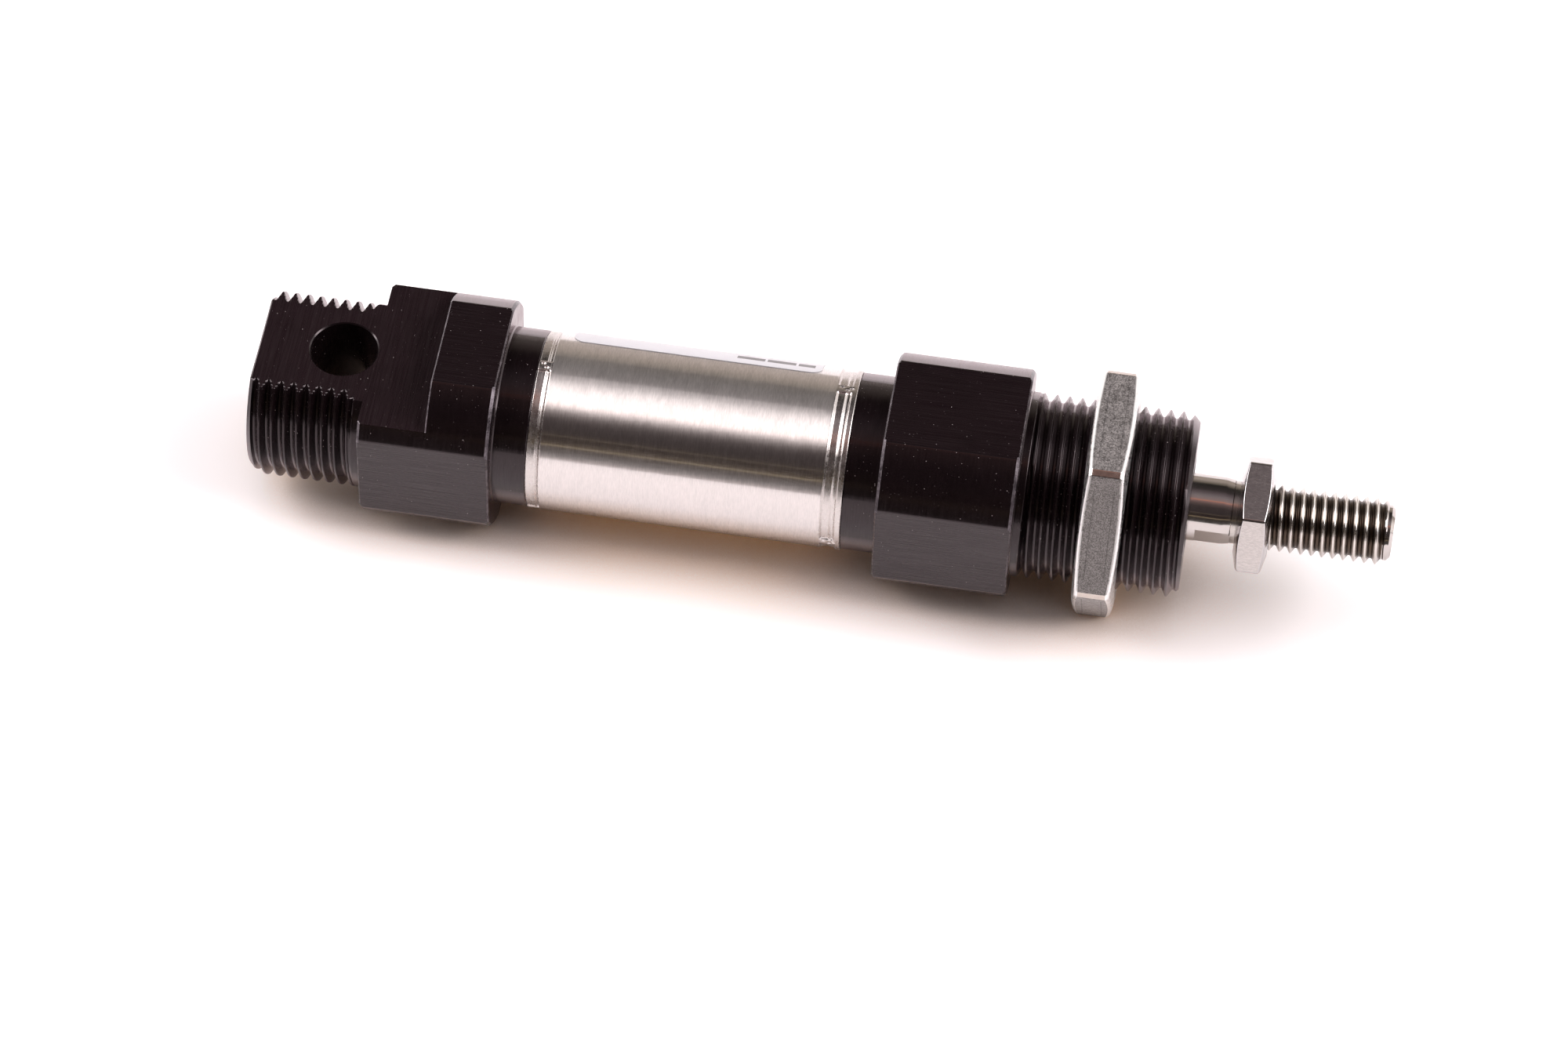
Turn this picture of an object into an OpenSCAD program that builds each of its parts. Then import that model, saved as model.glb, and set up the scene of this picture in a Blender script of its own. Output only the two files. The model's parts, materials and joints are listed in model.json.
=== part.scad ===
// Round mini air cylinder, double acting, 20 mm bore and 10 mm stroke, to the ISO 6432 sizes.
// The origin is the centre of the rear eye's pin hole. +X runs along the cylinder to the rod end.
// +Z is up, along the pin hole. The rod is drawn fully retracted. All sizes are in mm.

/* [Series] */
// Piston stroke
stroke = 10; // [10:5:100]
// Inside diameter of the barrel
bore = 20; // [19.6:0.1:20.4]
// Pin hole centre to rod shoulder, without the stroke
xc_length = 95; // [95:1:110]
// Front mounting face to rod shoulder
wf_length = 24; // [22:0.5:26]

/* [Covers] */
// Across the flats of both blocks
block_af = 24; // [23:0.5:26]
// Across the rounded corners of both blocks
block_round = 27; // [26:0.5:29]
// Edge break on the rounded corners
block_chamfer = 0.35; // [0.1:0.05:0.8]
// Diameter of the collar between block and barrel
collar_diameter = 21; // [20.4:0.1:21.2]
// Length of each collar
collar_length = 4.1; // [2:0.1:5]
// Length of the rear block
rear_block_length = 15.6; // [13:0.1:17]
// Length of the front block
front_block_length = 16; // [14:0.5:18]

/* [Rear eye] */
// Pin hole diameter
eye_hole = 8; // [6:0.5:8]
// Thickness over the eye's two flats
eye_width = 16; // [14:0.5:17]
// Free end of the eye behind the pin hole centre
eye_overhang = 10; // [8.5:0.5:12]
// How far the eye's flats run in front of the pin hole centre
eye_flat_reach = 11.7; // [8:0.1:14]
// Pin hole centre to the rear block
eye_to_block = 3.7; // [3.5:0.1:5]

/* [Nose] */
// Length of the threaded nose
nose_length = 20; // [16:1:22]
// Major diameter of both cover threads
cover_thread = 22; // [21:0.5:22]
// Pitch of both cover threads
cover_pitch = 1.5; // [1:0.25:1.5]

/* [Barrel] */
// Wall thickness
barrel_wall = 0.65; // [0.5:0.05:0.9]
// Depth of the crimped bands at both ends
crimp_depth = 0.18; // [0.1:0.02:0.24]
// Width of the band at the rear end
rear_crimp_width = 1.6; // [1:0.1:1.7]
// Width of the groove at the front end
front_crimp_width = 1; // [0.8:0.1:1.2]
// Jaws that close each crimp
crimp_jaws = 3; // [2:1:6]
// Angle left raised between two jaws
crimp_gap_angle = 15; // [6:1:30]

/* [Ports] */
// Minor diameter of the G1/8 port thread
port_bore = 8.566; // [7.5:0.001:8.6]
// Depth of each port
port_depth = 7; // [6:0.5:7]

/* [Rod] */
// Rod diameter
rod_diameter = 8; // [7.6:0.1:8]
// Length from the shoulder to the tip
rod_thread_length = 20; // [14:1:30]
// Pitch of the rod thread
rod_pitch = 1.25; // [1:0.25:1.25]
// Across the wrench flats
rod_flats_af = 7; // [6.5:0.1:7.4]
// Length of the wrench flats behind the shoulder
rod_flats_length = 3; // [1.5:0.1:3.5]
// Turn of the wrench flats about the rod
rod_flats_turn = 20; // [0:5:90]

/* [Nuts] */
// Mounting nut across flats
mounting_nut_af = 27; // [26:0.5:30]
// Mounting nut thickness
mounting_nut_thickness = 5; // [4:0.5:7]
// Front mounting face to mounting nut
mounting_nut_offset = 7.7; // [1:0.1:12]
// Rod nut across flats
rod_nut_af = 13; // [12:0.5:14]
// Rod nut thickness
rod_nut_thickness = 4; // [3:0.5:6.5]
// Rod shoulder to rod nut
rod_nut_offset = 1.7; // [1.7:0.1:12]
// Turn of the rod nut about the rod
rod_nut_turn = 15.3; // [0:0.1:60]

/* [Label] */
// Label length
label_length = 29.6; // [15:0.1:29.6]
// Angle the label covers round the barrel
label_angle = 130; // [60:5:180]

/* [Hidden] */
$fn = 96;

// clearances
cut = 1;
running = 0.03;
seat_gap = 0.01;
end_gap = 0.05;
thread_ease = 0.03;
thread_gap = 0.07;
thread_allowance = 0.07;

// stations along X
rear_block_x = eye_to_block;
rear_collar_x = rear_block_x + rear_block_length;
barrel_x = rear_collar_x + collar_length;
shoulder_x = xc_length + stroke;
front_face_x = shoulder_x - wf_length;
front_block_x = front_face_x - front_block_length;
barrel_end_x = front_block_x - collar_length;
nose_end_x = front_face_x + nose_length;
rod_tip_x = shoulder_x + rod_thread_length;

// barrel and spigots
bore_r = bore / 2;
barrel_r = bore_r + barrel_wall;
spigot_r = bore_r - running;
spigot_length = 5.2;
rear_spigot_end = barrel_x + spigot_length;
front_spigot_end = barrel_end_x - spigot_length;
crimp_step = 0.15;
front_lip = 0.6;
front_neck = 0.25;
front_lip_drop = 0.06;
crimp_gap_drop = 0.02;
rear_crimp_turn = 95;
front_crimp_turn = 80;

// O-rings between cover and barrel
barrel_ring_section = 1.5;
barrel_ring_groove = 2;
barrel_ring_r = spigot_r - barrel_ring_section / 2;
barrel_groove_r = barrel_ring_r - barrel_ring_section / 2 - seat_gap;
rear_ring_x = barrel_x + 3.2;
front_ring_x = barrel_end_x - 3.4;

// cover threads
cover_crest_r = cover_thread / 2 - thread_allowance;
cover_root_r = cover_crest_r - thread_depth(cover_pitch);
thread_neck_r = cover_crest_r + 0.02;
thread_neck = 1;
nose_lead = 1.6;
nose_first_crest = front_face_x + nose_lead;
nose_crests = floor((nose_length - nose_lead) / cover_pitch) + 1;
rear_lead = 1.5;
rear_first_crest = rear_lead - eye_overhang;
rear_crests = floor((eye_overhang + eye_to_block - thread_neck - rear_lead) / cover_pitch) + 1;
thread_lead_in = 1;
eye_edge = 0.3;

// ports and air passages
port_r = port_bore / 2;
port_mouth_r = port_r + 0.6;
rear_port_x = rear_block_x + rear_block_length / 2;
front_port_x = front_block_x + front_block_length / 2;
port_drill_r = 2;
rear_passage_r = 2.6;
nut_pocket_r = 6.3;
nut_pocket_depth = 3.9;
rod_passage_r = 4.8;

// rod guide in the nose
rod_r = rod_diameter / 2;
bushing_r = 5;
bushing_length = 12;
bushing_x = front_face_x - 2;
bushing_chamfer = 0.3;
seal_pocket_r = 7;
seal_pocket_x = nose_end_x - 7.5;
seal_pocket_length = 6;
nose_mouth_r = 5.9;
nose_mouth_chamfer = 0.4;
seal_lip_gap = 0.02;

// rod
shoulder_taper = 1.1;
shoulder_taper_r = rod_r - 0.2;
undercut_end = 1.6;
undercut_r = rod_r - 0.3;
rod_crest_r = rod_r - 0.03;
rod_root_r = rod_crest_r - thread_depth(rod_pitch);
rod_tip_ring_r = 3.3;
rod_tip_ring_length = 1.2;
rod_tip_chamfer = 0.4;
rod_thread_lead = 2.5;
rod_first_crest = shoulder_x + rod_thread_lead;
rod_thread_run = rod_thread_length - rod_tip_ring_length - rod_thread_lead - rod_pitch / 2;
rod_crests = floor(rod_thread_run / rod_pitch) + 1;

// piston, retracted
piston_x = rear_spigot_end + 0.7;
piston_half = 7.8;
piston_mid_x = piston_x + piston_half;
piston_front_x = piston_mid_x + piston_half;
piston_r = bore_r - 0.25;
piston_edge = 0.4;
piston_tail_r = 3;
piston_bore_r = piston_tail_r + 0.02;
tail_thread = 6;
tail_pitch = 1;
tail_crest_r = tail_thread / 2 - 0.03;
tail_root_r = tail_crest_r - thread_depth(tail_pitch);
tail_end_x = rear_spigot_end - 3.3;
tail_crests = 4;
tail_first_crest = tail_end_x + 0.7;
seal_groove_width = 2.6;
seal_groove_r = 7;
seal_offset = 2.4;
seal_r = bore_r - 0.02;
guide_width = 3.5;
guide_groove_r = 9;
guide_r = bore_r - 0.04;
guide_gap = 1.2;
guide_gap_slant = 30;
magnet_outer_r = 8.3;
magnet_inner_r = 5.2;
magnet_length = 4;
bumper_outer_r = 8.2;
bumper_inner_r = 6.6;
bumper_depth = 1.5;
bumper_reach = 0.65;
piston_ring_section = 1.2;
piston_ring_x = piston_front_x - 2.6;
piston_ring_groove = 1.5;
piston_nut_af = 10;
piston_nut_thickness = 3.2;
piston_nut_x = piston_x - piston_nut_thickness - end_gap;

// nuts and label
hex_to_flats_up = 30;
mounting_nut_x = front_face_x + mounting_nut_offset;
mounting_nut_chamfer_r = mounting_nut_af / 2 - 0.7;
mounting_nut_chamfer_angle = 9;
rod_nut_x = shoulder_x + rod_nut_offset;
rod_nut_chamfer_r = rod_nut_af / 2 - 2;
rod_nut_chamfer_angle = 20;
piston_nut_chamfer_r = piston_nut_af / 2 - 0.2;
piston_nut_chamfer_angle = 30;
label_x = barrel_x + 3.2;
label_thickness = 0.08;
label_start = 115;

// Radial depth of an ISO metric external thread.
function thread_depth(pitch) = 0.577 * pitch;

// Three corners and a flat of one thread crest, as [radius, x].
function crest(centre, crest_r, root_r, half) = [
    [root_r, centre - half - (crest_r - root_r) * tan(30)],
    [crest_r, centre - half],
    [crest_r, centre + half],
    [root_r, centre + half + (crest_r - root_r) * tan(30)]];

// Half the flat on top of a crest.
function crest_half(pitch) = pitch / 16;

// A 2-D profile of [radius, x] points, turned about the X axis.
module turned() {
    rotate([0, 90, 0]) rotate_extrude() children();
}

// Part of a turned ring: start and sweep are measured from -Y over the top.
module turned_part(start, sweep) {
    rotate([-start - sweep + 180, 0, 0])
        rotate([0, 90, 0])
            rotate([0, 0, 90])
                rotate_extrude(angle = sweep) children();
}

// A plain disc or shaft between two stations.
module shaft(r, from, to) {
    translate([from, 0, 0]) rotate([0, 90, 0]) cylinder(r = r, h = to - from);
}

// A shaft with both edges broken.
module edged_shaft(r, from, to, edge) {
    turned() polygon([[0, from], [r - edge, from], [r, from + edge], [r, to - edge],
        [r - edge, to], [0, to]]);
}

// A ring between two radii and two stations.
module ring(inner_r, outer_r, from, to) {
    turned() polygon([[inner_r, from], [outer_r, from], [outer_r, to], [inner_r, to]]);
}

// A ring with its outer edges broken.
module edged_ring(inner_r, outer_r, from, to, edge) {
    turned() polygon([[inner_r, from], [outer_r - edge, from], [outer_r, from + edge],
        [outer_r, to - edge], [outer_r - edge, to], [inner_r, to]]);
}

// A round cord ring.
module cord(centre_r, section, x) {
    turned() translate([centre_r, x]) circle(r = section / 2, $fn = 48);
}

// A shaft with ridges at thread pitch between two stations.
module ridged_shaft(crest_r, root_r, pitch, ease, first, count, from, to) {
    turned() polygon(concat(
        [[0, from], [root_r, from]],
        [for (i = [0:count - 1])
            each crest(first + i * pitch, crest_r, root_r, crest_half(pitch) + ease)],
        [[root_r, to], [0, to]]));
}

// A hexagon prism with both ends chamfered down to a circle.
module hex_nut(af, chamfer_r, angle, from, thickness) {
    corner_r = af / 2 / cos(30);
    drop = (corner_r - chamfer_r) * tan(angle);
    to = from + thickness;
    intersection() {
        translate([from, 0, 0]) rotate([0, 90, 0]) cylinder(r = corner_r, h = thickness, $fn = 6);
        turned() polygon([[0, from], [chamfer_r, from], [corner_r, from + drop],
            [corner_r, to - drop], [chamfer_r, to], [0, to]]);
    }
}

// The round-and-square block of a cover.
module block(from, length) {
    intersection() {
        edged_shaft(block_round / 2, from, from + length, block_chamfer);
        translate([from, -block_af / 2, -block_af / 2]) cube([length, block_af, block_af]);
    }
}

// A port on the +Y side with its air drilling down to the axis.
module port(x) {
    translate([x, block_af / 2 + cut, 0]) rotate([90, 0, 0])
        cylinder(r = port_r, h = port_depth + cut);
    translate([x, block_af / 2, 0]) rotate([90, 0, 0])
        cylinder(r1 = port_mouth_r, r2 = port_r, h = port_mouth_r - port_r);
    translate([x, block_af / 2 - port_depth + seat_gap, 0]) rotate([90, 0, 0])
        cylinder(r = port_drill_r, h = block_af / 2 - port_depth);
}

// Raised metal left between the crimping jaws, rooted in the middle of the wall.
module crimp_gaps(top_r, from, to, turn) {
    root_r = bore_r + barrel_wall / 3;
    for (i = [0:crimp_jaws - 1])
        turned_part(turn + i * 360 / crimp_jaws - crimp_gap_angle / 2, crimp_gap_angle)
            polygon([[root_r, from], [top_r, from], [top_r, to], [root_r, to]]);
}

module rear_cover() {
    color("#26242a") difference() {
        union() {
            intersection() {
                ridged_shaft(cover_crest_r, cover_root_r, cover_pitch, 0,
                    rear_first_crest, rear_crests, -eye_overhang, rear_block_x + cut);
                turned() polygon([[0, -eye_overhang],
                    [cover_crest_r - thread_lead_in, -eye_overhang],
                    [cover_crest_r, thread_lead_in - eye_overhang],
                    [cover_crest_r, rear_block_x + cut], [0, rear_block_x + cut]]);
            }
            shaft(thread_neck_r, rear_block_x - thread_neck, rear_block_x + cut);
            block(rear_block_x, rear_block_length);
            shaft(collar_diameter / 2, rear_collar_x - cut, barrel_x);
            rear_spigot();
        }
        // eye flats
        for (side = [-1, 1])
            translate([-eye_overhang - cut, -block_af, side * (eye_width + block_af) / 2 - block_af / 2])
                cube([eye_overhang + cut + eye_flat_reach, 2 * block_af, block_af]);
        // pin hole
        translate([0, 0, -eye_width / 2 - cut]) cylinder(d = eye_hole, h = eye_width + 2 * cut);
        for (side = [0, 1])
            mirror([0, 0, side]) translate([0, 0, eye_width / 2 - eye_edge])
                cylinder(r1 = eye_hole / 2, r2 = eye_hole / 2 + eye_edge, h = eye_edge);
        port(rear_port_x);
        shaft(rear_passage_r, rear_port_x, rear_spigot_end);
        shaft(nut_pocket_r, rear_spigot_end - nut_pocket_depth, rear_spigot_end + cut);
    }
}

// The part of the rear cover inside the barrel.
module rear_spigot() {
    crimp_end = barrel_x + rear_crimp_width + crimp_step;
    neck_r = spigot_r - crimp_depth;
    groove_half = barrel_ring_groove / 2;
    turned() polygon([[0, barrel_x - cut], [neck_r, barrel_x - cut], [neck_r, crimp_end],
        [spigot_r, crimp_end], [spigot_r, rear_ring_x - groove_half],
        [barrel_groove_r, rear_ring_x - groove_half], [barrel_groove_r, rear_ring_x + groove_half],
        [spigot_r, rear_ring_x + groove_half], [spigot_r, rear_spigot_end - piston_edge],
        [spigot_r - piston_edge, rear_spigot_end], [0, rear_spigot_end]]);
}

module front_cover() {
    color("#26242a") difference() {
        union() {
            front_spigot();
            shaft(collar_diameter / 2, barrel_end_x, front_block_x + cut);
            block(front_block_x, front_block_length);
            shaft(thread_neck_r, front_face_x - cut, front_face_x + thread_neck);
            intersection() {
                ridged_shaft(cover_crest_r, cover_root_r, cover_pitch, 0,
                    nose_first_crest, nose_crests, front_face_x - cut, nose_end_x);
                turned() polygon([[0, front_face_x - cut], [cover_crest_r, front_face_x - cut],
                    [cover_crest_r, nose_end_x - thread_lead_in],
                    [cover_crest_r - thread_lead_in, nose_end_x], [0, nose_end_x]]);
            }
        }
        port(front_port_x);
        shaft(rod_passage_r, front_spigot_end - cut, bushing_x + cut);
        shaft(bushing_r, bushing_x, seal_pocket_x + cut);
        shaft(seal_pocket_r, seal_pocket_x, seal_pocket_x + seal_pocket_length);
        shaft(nose_mouth_r, seal_pocket_x, nose_end_x + cut);
        turned() polygon([[0, nose_end_x - nose_mouth_chamfer],
            [nose_mouth_r, nose_end_x - nose_mouth_chamfer],
            [nose_mouth_r + nose_mouth_chamfer, nose_end_x], [0, nose_end_x]]);
    }
}

// The part of the front cover inside the barrel.
module front_spigot() {
    crimp_start = barrel_end_x - front_lip - front_crimp_width - front_neck - crimp_step;
    neck_r = spigot_r - crimp_depth;
    groove_half = barrel_ring_groove / 2;
    turned() polygon([[0, front_spigot_end], [spigot_r - piston_edge, front_spigot_end],
        [spigot_r, front_spigot_end + piston_edge], [spigot_r, front_ring_x - groove_half],
        [barrel_groove_r, front_ring_x - groove_half], [barrel_groove_r, front_ring_x + groove_half],
        [spigot_r, front_ring_x + groove_half], [spigot_r, crimp_start],
        [neck_r, crimp_start], [neck_r, barrel_end_x + cut], [0, barrel_end_x + cut]]);
}

module barrel() {
    rear_step = barrel_x + rear_crimp_width;
    groove_end = barrel_end_x - front_lip;
    groove_start = groove_end - front_crimp_width;
    inner_low = bore_r - crimp_depth;
    outer_low = barrel_r - crimp_depth;
    lip_r = barrel_r - front_lip_drop;
    color("#c9cacb") union() {
        turned() polygon([[inner_low, barrel_x], [outer_low, barrel_x], [outer_low, rear_step],
            [barrel_r, rear_step + crimp_step / 2], [barrel_r, groove_start - front_neck],
            [outer_low, groove_start], [outer_low, groove_end], [lip_r, groove_end + crimp_step],
            [lip_r, barrel_end_x], [inner_low, barrel_end_x], [inner_low, groove_start],
            [bore_r, groove_start - front_neck], [bore_r, rear_step + crimp_step],
            [inner_low, rear_step]]);
        crimp_gaps(lip_r - crimp_gap_drop, barrel_x + crimp_gap_drop, rear_step + crimp_step,
            rear_crimp_turn);
        crimp_gaps(lip_r - crimp_gap_drop, groove_start - front_neck / 2, groove_end + crimp_step,
            front_crimp_turn);
    }
}

module rear_barrel_o_ring() {
    color("#1a1a1a") cord(barrel_ring_r, barrel_ring_section, rear_ring_x);
}

module front_barrel_o_ring() {
    color("#1a1a1a") cord(barrel_ring_r, barrel_ring_section, front_ring_x);
}

module rod_bushing() {
    color("#9a7b4a") edged_ring(rod_r + running, bushing_r - seat_gap, bushing_x + seat_gap,
        bushing_x + bushing_length, bushing_chamfer);
}

// One piece with a pressure lip inside and a wiper lip at the mouth.
module rod_seal() {
    from = seal_pocket_x + seat_gap;
    to = seal_pocket_x + seal_pocket_length - seat_gap;
    outer = seal_pocket_r - seat_gap;
    lip_r = rod_r + seal_lip_gap;
    body_r = rod_r + 0.9;
    lip_land = 0.5;
    lip_flare = 1.6;
    mouth_r = nose_mouth_r - end_gap;
    wiper_end = nose_end_x - 0.1;
    wiper_lip_r = rod_r + 0.6;
    color("#1c1c1c") turned() polygon([[lip_r, from + lip_land], [lip_r + lip_land, from],
        [outer, from], [outer, to], [mouth_r, to], [wiper_lip_r, wiper_end],
        [lip_r, wiper_end], [lip_r, wiper_end - lip_land], [body_r, to - lip_flare],
        [body_r, from + lip_flare + lip_land], [lip_r, from + 2 * lip_land]]);
}

module label() {
    inner_r = barrel_r + seat_gap;
    outer_r = inner_r + label_thickness;
    color("#e4e4e2") turned_part(label_start, label_angle)
        polygon([[inner_r, label_x], [outer_r, label_x], [outer_r, label_x + label_length],
            [inner_r, label_x + label_length]]);
}

module piston_rod() {
    taper_end = shoulder_x + shoulder_taper;
    root_from = shoulder_x + undercut_end;
    tip_from = rod_tip_x - rod_tip_ring_length;
    color("#d8dadb") difference() {
        union() {
            ridged_shaft(tail_crest_r, tail_root_r, tail_pitch, 0, tail_first_crest, tail_crests,
                tail_end_x, piston_x + cut);
            shaft(piston_tail_r, piston_x, piston_front_x + cut);
            turned() polygon([[0, piston_front_x], [rod_r, piston_front_x], [rod_r, shoulder_x],
                [shoulder_taper_r, taper_end], [undercut_r, taper_end], [undercut_r, root_from],
                [0, root_from]]);
            ridged_shaft(rod_crest_r, rod_root_r, rod_pitch, 0, rod_first_crest, rod_crests,
                root_from - seat_gap, tip_from + seat_gap);
            turned() polygon([[0, tip_from], [rod_tip_ring_r, tip_from],
                [rod_tip_ring_r, rod_tip_x - rod_tip_chamfer],
                [rod_tip_ring_r - rod_tip_chamfer, rod_tip_x], [0, rod_tip_x]]);
        }
        // wrench flats
        for (side = [0, 180])
            rotate([rod_flats_turn + side, 0, 0])
                translate([shoulder_x - rod_flats_length, rod_flats_af / 2, -rod_diameter])
                    cube([rod_flats_length + shoulder_taper, rod_diameter, 2 * rod_diameter]);
    }
}

// One half of the piston before its own cuts, with its bore open for the rod's tail.
module piston_blank(from, to, outer_from, outer_to) {
    turned() polygon([[piston_bore_r, from], [outer_from, from], [outer_from, from + piston_edge],
        [piston_r, from + piston_edge], [piston_r, to - piston_edge], [outer_to, to - piston_edge],
        [outer_to, to], [piston_bore_r, to]]);
}

// Room for the magnet and the guide ring, shared by both halves.
module piston_middle_room() {
    half_guide = guide_width / 2 + end_gap;
    half_magnet = magnet_length / 2 + end_gap;
    ring(guide_groove_r, bore_r, piston_mid_x - half_guide, piston_mid_x + half_guide);
    ring(magnet_inner_r - end_gap, magnet_outer_r + end_gap, piston_mid_x - half_magnet,
        piston_mid_x + half_magnet);
}

module piston_front() {
    groove_to = piston_front_x - seal_offset;
    color("#b7b9bc") difference() {
        piston_blank(piston_mid_x, piston_front_x, piston_r, piston_r - piston_edge);
        piston_middle_room();
        ring(seal_groove_r, bore_r, groove_to - seal_groove_width, groove_to);
        ring(bumper_inner_r, bumper_outer_r, piston_front_x - bumper_depth, piston_front_x + cut);
        ring(piston_tail_r - running, piston_tail_r + piston_ring_section + end_gap,
            piston_ring_x - piston_ring_groove / 2, piston_ring_x + piston_ring_groove / 2);
    }
}

module piston_rear() {
    groove_from = piston_x + seal_offset;
    color("#b7b9bc") difference() {
        piston_blank(piston_x, piston_mid_x - seat_gap, piston_r - piston_edge, piston_r);
        piston_middle_room();
        ring(seal_groove_r, bore_r, groove_from, groove_from + seal_groove_width);
        ring(bumper_inner_r, bumper_outer_r, piston_x - cut, piston_x + bumper_depth);
    }
}

module piston_o_ring() {
    centre_r = piston_bore_r + piston_ring_section / 2 + seat_gap;
    color("#1a1a1a") cord(centre_r, piston_ring_section, piston_ring_x);
}

module magnet() {
    color("#3a3a3d") ring(magnet_inner_r, magnet_outer_r, piston_mid_x - magnet_length / 2,
        piston_mid_x + magnet_length / 2);
}

// A split band. It floats in its groove and rides on the barrel.
module guide_ring() {
    color("#6b4f2e") difference() {
        ring(guide_groove_r + end_gap, guide_r, piston_mid_x - guide_width / 2,
            piston_mid_x + guide_width / 2);
        translate([piston_mid_x, 0, bore_r]) rotate([0, 0, guide_gap_slant])
            cube([3 * guide_width, guide_gap, bore], center = true);
    }
}

// A lip seal whose open side faces the pressure: way is 1 to the front, -1 to the rear.
module lip_seal(centre_x, way) {
    half = seal_groove_width / 2 - end_gap;
    inner_r = seal_groove_r + end_gap;
    lip = 0.5;
    mid_r = (inner_r + seal_r) / 2;
    back_r = seal_r - 0.45;
    translate([centre_x, 0, 0]) mirror([way > 0 ? 0 : 1, 0, 0])
        turned() polygon([[inner_r, -half], [back_r, -half], [seal_r, half - lip],
            [seal_r - lip / 2, half], [seal_r - 2 * lip, half], [mid_r, 0],
            [inner_r + 2 * lip, half], [inner_r, half]]);
}

module front_piston_seal() {
    color("#202020") lip_seal(piston_front_x - seal_offset - seal_groove_width / 2, 1);
}

module rear_piston_seal() {
    color("#202020") lip_seal(piston_x + seal_offset + seal_groove_width / 2, -1);
}

module front_bumper() {
    color("#3d3a2c") edged_ring(bumper_inner_r + seat_gap, bumper_outer_r - seat_gap,
        piston_front_x - bumper_depth + seat_gap, piston_front_x + bumper_reach, seat_gap);
}

module rear_bumper() {
    color("#3d3a2c") edged_ring(bumper_inner_r + seat_gap, bumper_outer_r - seat_gap,
        piston_x - bumper_reach, piston_x + bumper_depth - seat_gap, seat_gap);
}

module piston_nut() {
    color("#a9abae") difference() {
        hex_nut(piston_nut_af, piston_nut_chamfer_r, piston_nut_chamfer_angle, piston_nut_x,
            piston_nut_thickness);
        ridged_shaft(tail_crest_r + thread_gap, tail_root_r + thread_gap, tail_pitch, thread_ease,
            tail_first_crest - tail_pitch, tail_crests + 2, piston_nut_x - cut,
            piston_nut_x + piston_nut_thickness + cut);
    }
}

module mounting_nut() {
    first = nose_first_crest + ceil((mounting_nut_x - nose_first_crest) / cover_pitch) * cover_pitch
        - cover_pitch;
    count = ceil(mounting_nut_thickness / cover_pitch) + 2;
    color("#8e9092") difference() {
        rotate([hex_to_flats_up, 0, 0])
            hex_nut(mounting_nut_af, mounting_nut_chamfer_r, mounting_nut_chamfer_angle,
                mounting_nut_x, mounting_nut_thickness);
        ridged_shaft(cover_crest_r + thread_gap, cover_root_r + 2 * thread_gap, cover_pitch,
            thread_ease, first, count, mounting_nut_x - 2 * cover_pitch,
            mounting_nut_x + mounting_nut_thickness + 2 * cover_pitch);
    }
}

module rod_nut() {
    first = rod_first_crest + ceil((rod_nut_x - rod_first_crest) / rod_pitch) * rod_pitch
        - rod_pitch;
    count = ceil(rod_nut_thickness / rod_pitch) + 2;
    color("#c3c5c7") difference() {
        rotate([-rod_nut_turn, 0, 0])
            hex_nut(rod_nut_af, rod_nut_chamfer_r, rod_nut_chamfer_angle, rod_nut_x,
                rod_nut_thickness);
        ridged_shaft(rod_crest_r + thread_gap, rod_root_r + 2 * thread_gap, rod_pitch,
            thread_ease, first, count, rod_nut_x - 2 * rod_pitch,
            rod_nut_x + rod_nut_thickness + 2 * rod_pitch);
    }
}

rear_cover();
front_cover();
barrel();
rear_barrel_o_ring();
front_barrel_o_ring();
rod_bushing();
rod_seal();
label();
piston_rod();
piston_front();
piston_rear();
piston_o_ring();
magnet();
guide_ring();
front_piston_seal();
rear_piston_seal();
front_bumper();
rear_bumper();
piston_nut();
mounting_nut();
rod_nut();
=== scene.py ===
"""Looks of a round mini air cylinder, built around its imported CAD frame.

Lengths are in millimetres until a mesh is made. An angle is measured round the cylinder's
axis in degrees, from -Y over the top, so -Y is 0, +Z is 90 and +Y is 180.
"""
import json
import math

import bmesh
import bpy
import numpy as np
from mathutils import Matrix, Vector


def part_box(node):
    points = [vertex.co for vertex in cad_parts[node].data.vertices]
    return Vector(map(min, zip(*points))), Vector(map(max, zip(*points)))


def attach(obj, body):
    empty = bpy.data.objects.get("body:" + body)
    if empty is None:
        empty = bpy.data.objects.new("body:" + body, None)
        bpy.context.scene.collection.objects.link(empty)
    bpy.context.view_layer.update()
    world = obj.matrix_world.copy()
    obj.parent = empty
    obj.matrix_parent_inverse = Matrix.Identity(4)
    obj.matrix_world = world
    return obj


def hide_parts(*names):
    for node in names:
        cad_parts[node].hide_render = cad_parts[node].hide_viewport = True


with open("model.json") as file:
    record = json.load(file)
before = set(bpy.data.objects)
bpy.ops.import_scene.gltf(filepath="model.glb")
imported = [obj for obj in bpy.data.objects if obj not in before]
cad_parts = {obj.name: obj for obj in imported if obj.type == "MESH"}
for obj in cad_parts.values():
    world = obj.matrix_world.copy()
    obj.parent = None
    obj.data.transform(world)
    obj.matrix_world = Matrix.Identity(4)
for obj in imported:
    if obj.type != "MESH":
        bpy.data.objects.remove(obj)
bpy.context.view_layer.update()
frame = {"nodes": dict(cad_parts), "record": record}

MM = 0.001
MOUNTS = {m["name"]: m for m in frame["record"]["mounts"]}


def span(node):
    """Lowest and highest corner of a CAD node in mm."""
    return [np.array(corner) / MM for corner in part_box(node)]


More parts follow.
